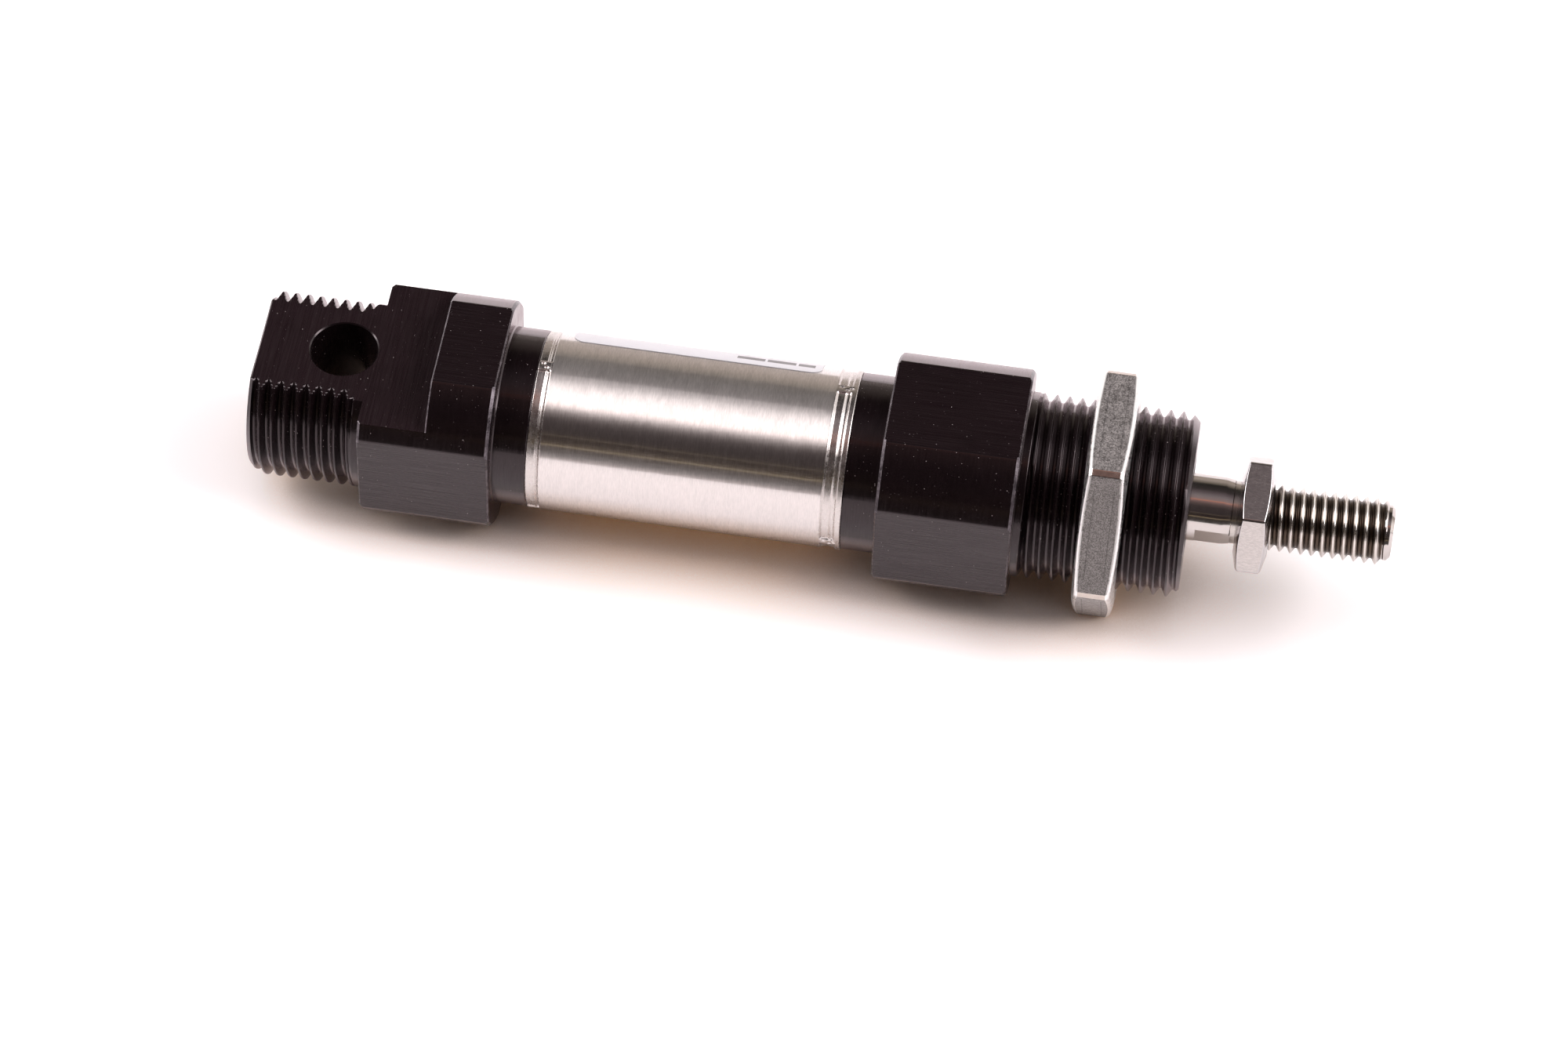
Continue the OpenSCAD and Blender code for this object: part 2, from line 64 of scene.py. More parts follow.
# ---- sizes taken from the frame
REAR_X, REAR_SPIGOT = span("rear_cover")[0][0], span("rear_cover")[1][0]
FLAT = span("rear_cover")[1][1]
FRONT_SPIGOT, NOSE_END = span("front_cover")[0][0], span("front_cover")[1][0]
BARREL_X, BARREL_END = span("barrel")[0][0], span("barrel")[1][0]
BARREL_R = span("barrel")[1][1]
ROD_TAIL, ROD_TIP = span("piston_rod")[0][0], span("piston_rod")[1][0]
ROD_R = span("piston_rod")[1][2]
EYE_R = MOUNTS["rear_eye"]["dims"]["r_mm"]
EYE_FLAT = MOUNTS["rear_eye"]["dims"]["length_mm"] / 2
FRONT_FACE = MOUNTS["front_face"]["pos_m"][0] / MM
PORT_XS = [MOUNTS[name]["pos_m"][0] / MM for name in ("rear_port", "front_port")]
PORT_R = MOUNTS["rear_port"]["dims"]["r_mm"]
SHOULDER = ROD_TIP - MOUNTS["rod_thread"]["dims"]["length_mm"]
NUT_X, NUT_END = span("mounting_nut")[0][0], span("mounting_nut")[1][0]
NUT_FLAT = span("mounting_nut")[1][2]
LOCK_X, LOCK_END = span("rod_nut")[0][0], span("rod_nut")[1][0]
LABEL_X, LABEL_END = span("label")[0][0], span("label")[1][0]
PISTON_FRONT = span("piston_front")[1][0]

# ---- sizes the frame doesn't say: the covers from outside. FLAT is half the width of a block, and
# ROUND_R is the round that cuts its corners.
ROUND_R = 13.5
REAR_BLOCK_END = 19.3
REAR_BLOCK = 2 * PORT_XS[0] - REAR_BLOCK_END, REAR_BLOCK_END
FRONT_BLOCK = 2 * PORT_XS[1] - FRONT_FACE, FRONT_FACE
BLOCK_CORNER = math.degrees(math.acos(FLAT / ROUND_R))
EYE_REACH = 11.7
EYE_CORNER = math.degrees(math.asin(EYE_FLAT / ROUND_R))
COLLAR_R = 10.5
SPIGOT_R = 9.75
EDGE = 0.18  # how far the edges of flats are broken
ROUND_EDGE = 0.35  # how far the edges of rounds are broken

# ---- the covers inside
POCKET_R, POCKET_DEPTH = 6.3, 3.9
REAR_PASSAGE_R = 2.6
ROD_PASSAGE_R = 4.8
BUSHING_R, BUSHING_BACK = 5.0, 2.0
SEAL_R, SEAL_DEPTH, SEAL_LIP = 7.0, 7.5, 1.5
MOUTH_R = 5.9
CHAMFER = 0.4

# ---- threads, with the station of one crest of each, at -Y
CREST_R = 10.93
NECK_R = 10.95
LEAD_R = CREST_R - 1
COVER_PITCH = 1.5
ROD_PITCH = 1.25
PORT_PITCH = 0.907
THREAD_DEPTH = 0.6  # of the pitch
FLANK_SLOPE = 1 / math.tan(math.radians(30))
COVER_THREAD = THREAD_DEPTH * COVER_PITCH
NOSE_CREST = 82.97
REAR_CREST = 2.21
ROD_CREST = 123.24

# ---- barrel, rod, nut and label
BARREL_BORE_R = 10.0
CRIMP_DEPTH = 0.2
REAR_GAPS = (87, 207, 327)
FRONT_GAPS = (102, 222, 342)
FLATS_TURN = -20
ROD_FLAT = 3.5
FLATS_LENGTH = 3
TIP_R, TIP_LENGTH = 3.3, 1.2
LOCK_FLAT = 6.5
LOCK_TURN = 45.3
LABEL_START, LABEL_SWEEP = 115, 130


# ---- surfaces turned round the axis
def smooth_min(a, b, k):
    """The smaller of two values, rounded over where they cross."""
    h = np.clip(0.5 + 0.5 * (b - a) / k, 0, 1)
    return b + (a - b) * h - k * h * (1 - h)


def smooth_step(value, low, high):
    t = np.clip((value - low) / (high - low), 0, 1)
    return t * t * (3 - 2 * t)


def bell(value, middle, width):
    return np.exp(-((value - middle) / width) ** 2)


def apart(angle, centre, period=360):
    """Signed angle from centre, wrapped into one period."""
    return (angle - centre + period / 2) % period - period / 2


def angles(step, marks, fine=0.4):
    """Angles round the axis, closer together round each mark."""
    reach = 1.2
    found = set(np.round(np.arange(0, 360, step), 3))
    for mark in marks:
        found |= {round(float(mark + d) % 360, 3) for d in np.arange(-reach, reach + fine / 2, fine)}
    return np.array(sorted(found))


def four_ways(angle):
    """The angle and its mirror images left, right, up and down."""
    return [angle, 180 - angle, 180 + angle, 360 - angle]


def runs(*pieces):
    """Stations from (start, end, count) runs, each without its own end."""
    return np.concatenate([np.linspace(*piece, endpoint=False) for piece in pieces])


def flats_r(turn, flat, count):
    """Distance from the axis to a set of equal flats, as a function of the angle."""
    return flat / np.maximum(np.cos(np.radians(apart(turn, 0, 360 / count))), 1e-3)


# Rows of a thread, as parts of its pitch away from the middle of a crest: a crest's edge, a flank,
# a root's edge and the middle of the root, and the same again on the other side.
HALF_THREAD = (0, 0.035, 0.07, 0.11, 0.25, 0.38, 0.425, 0.46, 0.5)
THREAD_ROWS = HALF_THREAD + tuple(1 - part for part in HALF_THREAD[-2:0:-1])


class Skin:
    """Rows of points round the axis, joined into one closed surface."""

    def __init__(self, turn):
        self.turn = turn
        self.x, self.r, self.wraps = [], [], []

    def row(self, x, r):
        self.x.append(np.broadcast_to(np.asarray(x, float), self.turn.shape))
        self.r.append(np.broadcast_to(np.asarray(r, float), self.turn.shape))

    def path(self, *points):
        for x, r in points:
            self.row(x, r)

    def thread(self, start, end, pitch, crest_x, radius):
        """Rows that follow a right-hand helix towards +X. radius(x, from_crest) gives the surface.

        One turn along a row ends one pitch further back, so the seam joins rows one pitch apart.
        """
        lead = crest_x - pitch * self.turn / 360
        first = math.floor((start - crest_x) / pitch) - 1
        last = math.ceil((end - crest_x) / pitch) + 2
        begin = len(self.x)
        for crest in range(first, last + 1):
            for part in THREAD_ROWS:
                x = np.clip(lead + (crest + part) * pitch, start, end)
                self.row(x, radius(x, apart(x, lead, pitch)))
        self.wraps.append((begin, len(self.x)))

    def seam_shift(self, row):
        """How many rows back the seam joins this row, or None where the thread has no row yet."""
        for begin, end in self.wraps:
            if begin <= row < end - 1:
                return len(THREAD_ROWS) if row - len(THREAD_ROWS) >= begin else None
        return 0

    def mesh(self, name, ring=False):
        """The closed surface: a ring whose last row meets its first, or a solid with flat ends."""
        x, r = np.array(self.x), np.array(self.r)
        rows, n = x.shape
        a = np.radians(self.turn)
        points = np.stack([x, -r * np.cos(a), r * np.sin(a)], -1).reshape(-1, 3) * MM
        i, j = np.meshgrid(np.arange(rows - 1), np.arange(n - 1), indexing="ij")
        i, j = i.ravel(), j.ravel()
        faces = np.stack([i * n + j, (i + 1) * n + j, (i + 1) * n + j + 1, i * n + j + 1], -1)
        seam = []
        for row in range(rows - 1):
            shift = self.seam_shift(row)
            if shift is not None:
                seam.append([row * n + n - 1, (row + 1) * n + n - 1,
                             (row + 1 - shift) * n, (row - shift) * n])
        faces = [tuple(f) for f in np.concatenate([faces, np.array(seam)])]
        if ring:
            last = (rows - 1) * n
            faces += [(last + k, k, (k + 1) % n, last + (k + 1) % n) for k in range(n)]
        else:
            faces += [tuple(range(n)), tuple(reversed(range((rows - 1) * n, rows * n)))]
        return solid(name, points, faces)


def solid(name, points, faces):
    """An object from points in metres, with doubled points merged and normals outwards."""
    mesh = bpy.data.meshes.new(name)
    mesh.from_pydata([tuple(p) for p in points], [], faces)
    bm = bmesh.new()
    bm.from_mesh(mesh)
    bmesh.ops.remove_doubles(bm, verts=bm.verts, dist=2e-7)
    bmesh.ops.dissolve_degenerate(bm, edges=bm.edges, dist=1e-8)
    bmesh.ops.recalc_face_normals(bm, faces=bm.faces)
    bm.to_mesh(mesh)
    bm.free()
    obj = bpy.data.objects.new(name, mesh)
    bpy.context.collection.objects.link(obj)
    return obj


def cut(obj, cutter):
    """Takes cutter away from obj for good."""
    mod = obj.modifiers.new("cut", "BOOLEAN")
    mod.object, mod.solver = cutter, "EXACT"
    shape = bpy.data.meshes.new_from_object(obj.evaluated_get(bpy.context.evaluated_depsgraph_get()))
    obj.modifiers.clear()
    obj.data = shape
    bpy.data.objects.remove(cutter)


def smooth(obj, angle=28):
    """Smooth shading that keeps true edges sharp and large faces flat."""
    obj.data.shade_smooth()
    obj.data.set_sharp_from_angle(angle=math.radians(angle))
    mod = obj.modifiers.new("flat faces", "WEIGHTED_NORMAL")
    mod.keep_sharp = True


def ring_faces(rings, count, closed=False):
    """Faces between neighbouring rings of count points, and from the last to the first when closed."""
    faces = []
    for i in range(rings if closed else rings - 1):
        near, far = i * count, (i + 1) % rings * count
        faces += [(near + k, near + (k + 1) % count, far + (k + 1) % count, far + k) for k in range(count)]
    return faces


def revolved(name, profile, axis, centre, count=72):
    """A closed solid from (radius, height) points turned round an axis through centre, in mm."""
    points = []
    for r, h in profile:
        for k in range(count):
            a = 2 * math.pi * k / count
            points.append((r * math.cos(a), r * math.sin(a), h))
    faces = ring_faces(len(profile), count)
    faces += [tuple(reversed(range(count))), tuple(range(len(points) - count, len(points)))]
    turn = Vector((0, 0, 1)).rotation_difference(Vector(axis)).to_matrix()
    moved = [(turn @ Vector(p) + Vector(centre)) * MM for p in points]
    return solid(name, moved, faces)


def thread_r(crest_r, depth, pitch, crest_round=0.03, root_round=0.03):
    """Radius of a thread as a function of the distance from the middle of a crest."""
    def radius(from_crest):
        flank = crest_r - (np.abs(from_crest) - pitch / 16) * FLANK_SLOPE
        crest = smooth_min(flank, crest_r, crest_round * pitch)
        return -smooth_min(-crest, -(crest_r - depth), root_round * pitch)
    return radius


# ---- materials
class Look:
    """A material built from nodes. Texture scales are in features per mm."""

    def __init__(self, name):
        self.mat = bpy.data.materials.new(name)
        self.mat.use_nodes = True
        self.tree = self.mat.node_tree
        self.bsdf = self.tree.nodes["Principled BSDF"]
        self.place = self.node("ShaderNodeTexCoord").outputs["Object"]

    def put(self, socket, value):
        if isinstance(value, bpy.types.NodeSocket):
            self.tree.links.new(value, socket)
        elif isinstance(value, (tuple, list)) and len(value) == 3 and socket.type == "RGBA":
            socket.default_value = (*value, 1)
        else:
            socket.default_value = value

    def node(self, kind, values=None, **settings):
        node = self.tree.nodes.new(kind)
        for key, value in settings.items():
            setattr(node, key, value)
        for key, value in (values or {}).items():
            self.put(node.inputs[key], value)
        return node

    def surface(self, **values):
        for key, value in values.items():
            self.put(self.bsdf.inputs[key.replace("_", " ")], value)

    def scaled(self, scale, turn=(0, 0, 0)):
        return self.node("ShaderNodeMapping", {"Vector": self.place, "Rotation": turn,
                                               "Scale": [s / MM for s in scale]}).outputs[0]

    def noise(self, scale, detail=3, rough=0.55):
        return self.node("ShaderNodeTexNoise", {"Vector": self.scaled(scale), "Scale": 1,
                                                "Detail": detail, "Roughness": rough}).outputs["Fac"]

    def math(self, operation, a, b=0.0):
        return self.node("ShaderNodeMath", {0: a, 1: b}, operation=operation).outputs[0]

    def ramp(self, value, low, high, to_low=0.0, to_high=1.0):
        """value from low..high taken to to_low..to_high, clamped."""
        return self.node("ShaderNodeMapRange", {"Value": value, "From Min": low, "From Max": high,
                                                "To Min": to_low, "To Max": to_high}).outputs[0]

    def mix(self, factor, a, b):
        """Colour a where factor is 0 and b where it is 1."""
        node = self.node("ShaderNodeMix", data_type="RGBA")
        self.put(node.inputs[0], factor)
        self.put(node.inputs[6], a)
        self.put(node.inputs[7], b)
        return node.outputs[2]

    def bump(self, height, strength, distance):
        """A normal from height, whose full range stands for distance mm."""
        return self.node("ShaderNodeBump", {"Height": height, "Strength": strength,
                                            "Distance": distance * MM}).outputs[0]

    def axes(self):
        """The place's X, Y and Z in metres."""
        return self.node("ShaderNodeSeparateXYZ", {0: self.place}).outputs

    def from_axis(self):
        """Distance from the cylinder's axis in metres."""
        _, y, z = self.axes()
        squares = self.math("ADD", self.math("MULTIPLY", y, y), self.math("MULTIPLY", z, z))
        return self.math("SQRT", squares)

    def specks(self, per_mm, size, share, seed=0.0):
        """1 on sparse tiny dots, such as dust, and 0 elsewhere."""
        cells = self.node("ShaderNodeTexVoronoi", {
            "Vector": self.scaled((per_mm,) * 3, (seed, seed, 0)), "Scale": 1})
        near = self.ramp(cells.outputs["Distance"], size * per_mm * 0.5, size * per_mm, 1, 0)
        chance = self.node("ShaderNodeSeparateColor", {"Color": cells.outputs["Color"]}).outputs[0]
        return self.math("MULTIPLY", near, self.math("LESS_THAN", chance, share))


def times(colour, factor):
    return tuple(channel * factor for channel in colour)


def anodised(name, grain, tone=1.0, rough=0.2, streak=0.2):
    """Black anodised aluminium. grain is the scale of its tool lines along X, Y and Z."""
    look = Look(name)
    lines = look.noise(grain, 3, 0.6)
    cloud = look.noise((0.35, 0.35, 0.35), 3)
    base = look.mix(cloud, times((0.0028, 0.0013, 0.0017), tone), times((0.0052, 0.0027, 0.0034), tone))
    dust = look.math("MAXIMUM", look.specks(1.2, 0.065, 0.6),
                     look.math("MULTIPLY", look.specks(2.6, 0.035, 0.5, 0.6), 0.5))
    colour = look.mix(look.math("MULTIPLY", dust, 0.6), base, (0.5, 0.44, 0.44))
    worn = look.math("ADD", look.ramp(lines, 0.3, 0.7, rough - 0.05, rough + 0.07),
                     look.math("MULTIPLY", dust, 0.3))
    facing = look.node("ShaderNodeLayerWeight", {"Blend": 0.5}).outputs["Facing"]
    look.surface(Base_Color=colour, Roughness=worn, IOR=look.ramp(facing, 0.48, 0.85, 1.5, 3.4),
                 Specular_IOR_Level=look.ramp(lines, 0.3, 0.7, 0.5 - 0.4 * streak, 0.5 + 0.4 * streak),
                 Specular_Tint=(1.0, 0.85, 0.88, 1.0), Normal=look.bump(lines, streak, 0.01))
    return look.mat


def worn_edge(name):
    """A broken edge where the black layer has partly gone."""
    look = Look(name)
    bare = look.ramp(look.noise((0.9, 0.9, 0.9), 4, 0.7), 0.4, 0.75)
    look.surface(Base_Color=look.mix(bare, (0.045, 0.037, 0.042), (0.17, 0.148, 0.162)), Metallic=0.85,
                 Roughness=look.ramp(bare, 0, 1, 0.24, 0.34), Normal=look.bump(bare, 0.1, 0.01))
    return look.mat


def steel(name, colour, rough, grain, grain_depth, cloud=0.06, salt=0.0, inset=None):
    """Bare metal. salt is how strongly its colour follows the finest grain. inset draws two thin
    dark lines across X, as (their middle, half the way between them, radius they end at).
    """
    look = Look(name)
    lines = look.noise(grain, 3, 0.65)
    spots = look.noise((1.3, 1.3, 1.3), 4)
    tone = look.mix(spots, times(colour, 1 - 2 * cloud), colour)
    if salt:
        fine = look.ramp(look.noise(grain, 2, 0.8), 0.42, 0.6)
        tone = look.mix(fine, times(colour, 1 - salt), times(colour, 1 + salt))
    if inset:
        middle, half, reach = (value * MM for value in inset)
        from_middle = look.math("ABSOLUTE", look.math("SUBTRACT", look.axes()[0], middle))
        from_line = look.math("ABSOLUTE", look.math("SUBTRACT", from_middle, half))
        near = look.ramp(from_line, 0.03 * MM, 0.1 * MM, 0.45, 0)
        line = look.math("MULTIPLY", near, look.math("LESS_THAN", look.from_axis(), reach))
        tone = look.mix(line, tone, times(colour, 0.3))
    worn = look.math("ADD", look.ramp(spots, 0.3, 0.7, -0.25 * rough, 0.25 * rough),
                     look.ramp(lines, 0.25, 0.75, rough * 0.8, rough * 1.2))
    look.surface(Base_Color=tone, Metallic=1.0, Roughness=worn, Normal=look.bump(lines, grain_depth, 0.02))
    return look.mat


def ground_tube(name, colour):
    """Stainless tube ground round its axis, where each fine scratch scatters a little differently."""
    look = Look(name)
    fine = look.noise((8, 1.1, 1.1), 2, 0.6)
    broad = look.noise((1.1, 0.22, 0.22), 3, 0.6)
    streaks = look.math("ADD", look.math("MULTIPLY", fine, 0.65), look.math("MULTIPLY", broad, 0.35))
    tone = look.mix(look.ramp(streaks, 0.36, 0.64), times(colour, 0.88), times(colour, 1.05))
    tangent = look.node("ShaderNodeTangent", direction_type="RADIAL", axis="X").outputs[0]
    look.surface(Base_Color=tone, Metallic=1.0, Roughness=look.ramp(streaks, 0.35, 0.65, 0.3, 0.35),
                 Anisotropic=1.0, Anisotropic_Rotation=0.25, Tangent=tangent,
                 Normal=look.bump(broad, 0.04, 0.01), Coat_Weight=look.ramp(streaks, 0.35, 0.65, 1.0, 0.6),
                 Coat_IOR=2.4, Coat_Roughness=0.04)
    return look.mat


def rolled_thread(name, root_r, crest_r):
    """Rolled thread, painted dark in its roots as shade and bright on its crests as a highlight."""
    look = Look(name)
    # Painted shade and highlight: the colour runs from near black at the roots to bright at the crests by
    # distance from the axis, its edge wobbled by noise.
    shade_wobble = look.math("MULTIPLY", look.noise((1.6, 1.6, 1.6), 3), 0.25 * (crest_r - root_r) * MM)
    height = look.ramp(look.math("SUBTRACT", look.from_axis(), shade_wobble), root_r * MM, (crest_r - 0.26) * MM)
    look.surface(Base_Color=look.mix(height, (0.075, 0.055, 0.042), (0.66, 0.62, 0.585)), Metallic=1.0,
                 Roughness=look.ramp(height, 0, 1, 0.3, 0.16),
                 Normal=look.bump(look.noise((8, 1, 1), 3), 0.06, 0.02))
    return look.mat


def rubber(name, colour, rough=0.6):
    look = Look(name)
    grain = look.noise((6, 6, 6), 4)
    cloud = look.noise((0.6, 0.6, 0.6), 3)
    look.surface(Base_Color=look.mix(cloud, times(colour, 0.8), times(colour, 1.3)),
                 Roughness=look.ramp(cloud, 0.3, 0.7, rough - 0.06, rough + 0.08),
                 Normal=look.bump(grain, 0.15, 0.02))
    return look.mat


def film(name, colour, bars):
    """Printed label film. bars are (start, end, low angle, high angle) of plain dark printed bars."""
    look = Look(name)
    x, y, z = look.axes()
    round_x = look.math("DEGREES", look.math("ARCTAN2", z, look.math("MULTIPLY", y, -1)))
    ink = 0.0
    for start, end, low, high in bars:
        inside = look.math("MULTIPLY", look.math("GREATER_THAN", x, start * MM),
                           look.math("LESS_THAN", x, end * MM))
        band = look.math("MULTIPLY", look.math("GREATER_THAN", round_x, low),
                         look.math("LESS_THAN", round_x, high))
        ink = look.math("MAXIMUM", ink, look.math("MULTIPLY", inside, band))
    faint = look.noise((0.5, 0.5, 0.5), 2)
    paper_tone = look.mix(faint, times(colour, 0.97), colour)
    look.surface(Base_Color=look.mix(look.math("MULTIPLY", ink, 0.9), paper_tone, (0.06, 0.05, 0.05)),
                 Roughness=look.ramp(faint, 0.3, 0.7, 0.3, 0.4), Normal=look.bump(faint, 0.03, 0.01))
    return look.mat


TURNED_BLACK = anodised("black anodised, turned", (9, 0.5, 0.5))
MILLED_BLACK = anodised("black anodised, milled", (0.12, 7, 7), tone=1.7, rough=0.26, streak=0.35)
EYE_BLACK = anodised("black anodised, eye flats", (5, 0.15, 0.15), tone=2.6, rough=0.28)
WORN = worn_edge("black anodised, worn edges")
COVER_LOOKS = [TURNED_BLACK, MILLED_BLACK, EYE_BLACK, WORN]
TUBE = ground_tube("stainless tube", (0.66, 0.61, 0.59))
CRIMP = steel("crimped tube", (0.63, 0.585, 0.565), rough=0.27, grain=(5, 0.8, 0.8), grain_depth=0.12,
              cloud=0.05)
ROD_STEEL = steel("polished rod", (0.58, 0.54, 0.52), rough=0.12, grain=(4, 0.6, 0.6), grain_depth=0.04,
                  cloud=0.04)
THREAD_STEEL = rolled_thread("rolled thread", ROD_R - THREAD_DEPTH * ROD_PITCH, ROD_R)
NUT_INSET = (NUT_X + NUT_END) / 2, (NUT_END - NUT_X) / 2 - 1.35, NUT_FLAT + 1.15
NUT_STEEL = steel("grained nut", (0.325, 0.305, 0.298), rough=0.6, grain=(7, 7, 7), grain_depth=0.4,
                  cloud=0.12, salt=0.42, inset=NUT_INSET)
NUT_EDGE = steel("polished nut edge", (0.88, 0.86, 0.85), rough=0.32, grain=(4, 4, 4), grain_depth=0.08)
NUT_CORNER = steel("rubbed nut corner", (0.6, 0.53, 0.48), rough=0.22, grain=(4, 4, 4), grain_depth=0.1,
                   cloud=0.1)
LOCK_STEEL = steel("bright nut", (0.5, 0.467, 0.45), rough=0.22, grain=(2, 6, 6), grain_depth=0.16,
                   cloud=0.08, salt=0.08)
LOCK_EDGE = steel("bright nut edge", (0.58, 0.555, 0.56), rough=0.15, grain=(3, 3, 3), grain_depth=0.05)
PISTON_METAL = steel("turned piston", (0.75, 0.75, 0.76), rough=0.3, grain=(12, 0.5, 0.5), grain_depth=0.2)
BRONZE = steel("sintered bronze", (0.55, 0.38, 0.18), rough=0.45, grain=(6, 6, 6), grain_depth=0.35,
               cloud=0.15)
FERRITE = rubber("ferrite", (0.05, 0.05, 0.055), rough=0.5)
SEAL = rubber("black rubber", (0.014, 0.013, 0.013))
BUMPER = rubber("elastomer", (0.06, 0.05, 0.03))
BAND = rubber("filled plastic", (0.2, 0.11, 0.05), rough=0.45)
BAR_LOW, BAR_HIGH = LABEL_START + 7.3, LABEL_START + 13.2
PRINTED = [(LABEL_END - start, LABEL_END - end, BAR_LOW, BAR_HIGH)
           for start, end in ((10.2, 6.9), (6.6, 3.2), (2.9, 0.9))]
FILM = film("label film", (0.60, 0.59, 0.62), PRINTED)


def paint(obj, materials, choose=None):
    """Gives obj its materials. choose(centres in mm, normals) returns a material number for each face."""
    obj.data.materials.clear()
    for mat in materials:
        obj.data.materials.append(mat)
    count = len(obj.data.polygons)
    picked = np.zeros(count, dtype=np.int32)
    if choose is not None:
        centres, normals = np.empty(count * 3), np.empty(count * 3)
        obj.data.polygons.foreach_get("center", centres)
        obj.data.polygons.foreach_get("normal", normals)
        picked = np.asarray(choose(centres.reshape(-1, 3) / MM, normals.reshape(-1, 3)), dtype=np.int32)
    obj.data.polygons.foreach_set("material_index", picked)


def finish_piece(obj, body, nodes, angle=28):
    smooth(obj, angle)
    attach(obj, body)
    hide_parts(*nodes)


# ---- covers
def cover_faces(centres, normals):
    """0 for turned faces, 1 for a block's flats, 2 for the eye's flats, 3 for the blocks' broken edges."""
    _, y, z = np.abs(centres).T
    along_x, along_y, along_z = np.abs(normals).T
    block = ((along_y > 0.9999) & (y > FLAT - 0.01)) | ((along_z > 0.9999) & (z > FLAT - 0.01))
    eye = (along_z > 0.9999) & (np.abs(z - EYE_FLAT) < 0.01)
    steps = np.array([*REAR_BLOCK, *FRONT_BLOCK, EYE_REACH])
    at_step = np.abs(centres[:, :1] - steps).min(axis=1) < ROUND_EDGE + 0.02
    slanted = (along_x > 0.15) & (along_x < 0.97)
    edge = at_step & slanted & (np.hypot(y, z) > FLAT - 0.3)
    return np.select([eye, edge, block], [2, 3, 1], 0)


def block_r(turn, inset=0.0):
    """Distance from the axis to a block: four flats, with the corners cut round."""
    return smooth_min(flats_r(turn, FLAT - inset, 4), ROUND_R, 0.04)


def block_end(skin, x, way, cap=math.inf):
    """Rows of a block's broken edge, where it starts (way 1) or stops (way -1), no further out than cap."""
    outline = block_r(skin.turn)
    rows = [(x, np.minimum(block_r(skin.turn, EDGE), ROUND_R - ROUND_EDGE)),
            (x + way * EDGE, np.minimum(outline, ROUND_R - ROUND_EDGE + EDGE)),
            (x + way * ROUND_EDGE, outline)]
    skin.path(*[(at, np.minimum(r, cap)) for at, r in rows[::way]])


def port_cutter(x):
    """What a port takes out of a block's +Y side, down to the air drilling."""
    drill_r, drill_end, thread_end = 2, FLAT - 10, FLAT - 7
    root_r, mouth_r, mouth = PORT_R + 0.55, PORT_R + 1.2, 0.6
    profile = [(drill_r, drill_end), (drill_r, thread_end), (root_r, thread_end + 0.2),
               (root_r, FLAT - mouth), (mouth_r, FLAT), (mouth_r + 1, FLAT + 1)]
    return revolved("cutter", profile, (0, 1, 0), (x, 0, 0))


def port_thread(name, x):
    """The thread inside a port, as a thin sleeve that fades out at its mouth."""
    count, top, bottom, depth = 64, FLAT - 0.5, FLAT - 6.8, 0.46
    turn = np.arange(count) * 360 / count
    rings = []
    for h in np.linspace(bottom, top, int((top - bottom) / PORT_PITCH * 8) + 1):
        wave = np.abs(apart(h + PORT_PITCH * turn / 360, 0, PORT_PITCH)) / (PORT_PITCH / 2)
        fade = max(0, 1 - (top - h) / PORT_PITCH)
        rings.append((PORT_R + 0.02 + depth * np.maximum(wave, fade), h))
    rings += [(np.full(count, PORT_R + 0.5), h) for h in (top, bottom)]
    a = np.radians(turn)
    points = [np.stack([x + r * np.cos(a), np.full(count, h), r * np.sin(a)], -1) * MM for r, h in rings]
    obj = solid(name, np.concatenate(points), ring_faces(len(rings), count, closed=True))
    paint(obj, [TURNED_BLACK])
    smooth(obj, 40)
    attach(obj, "cylinder")


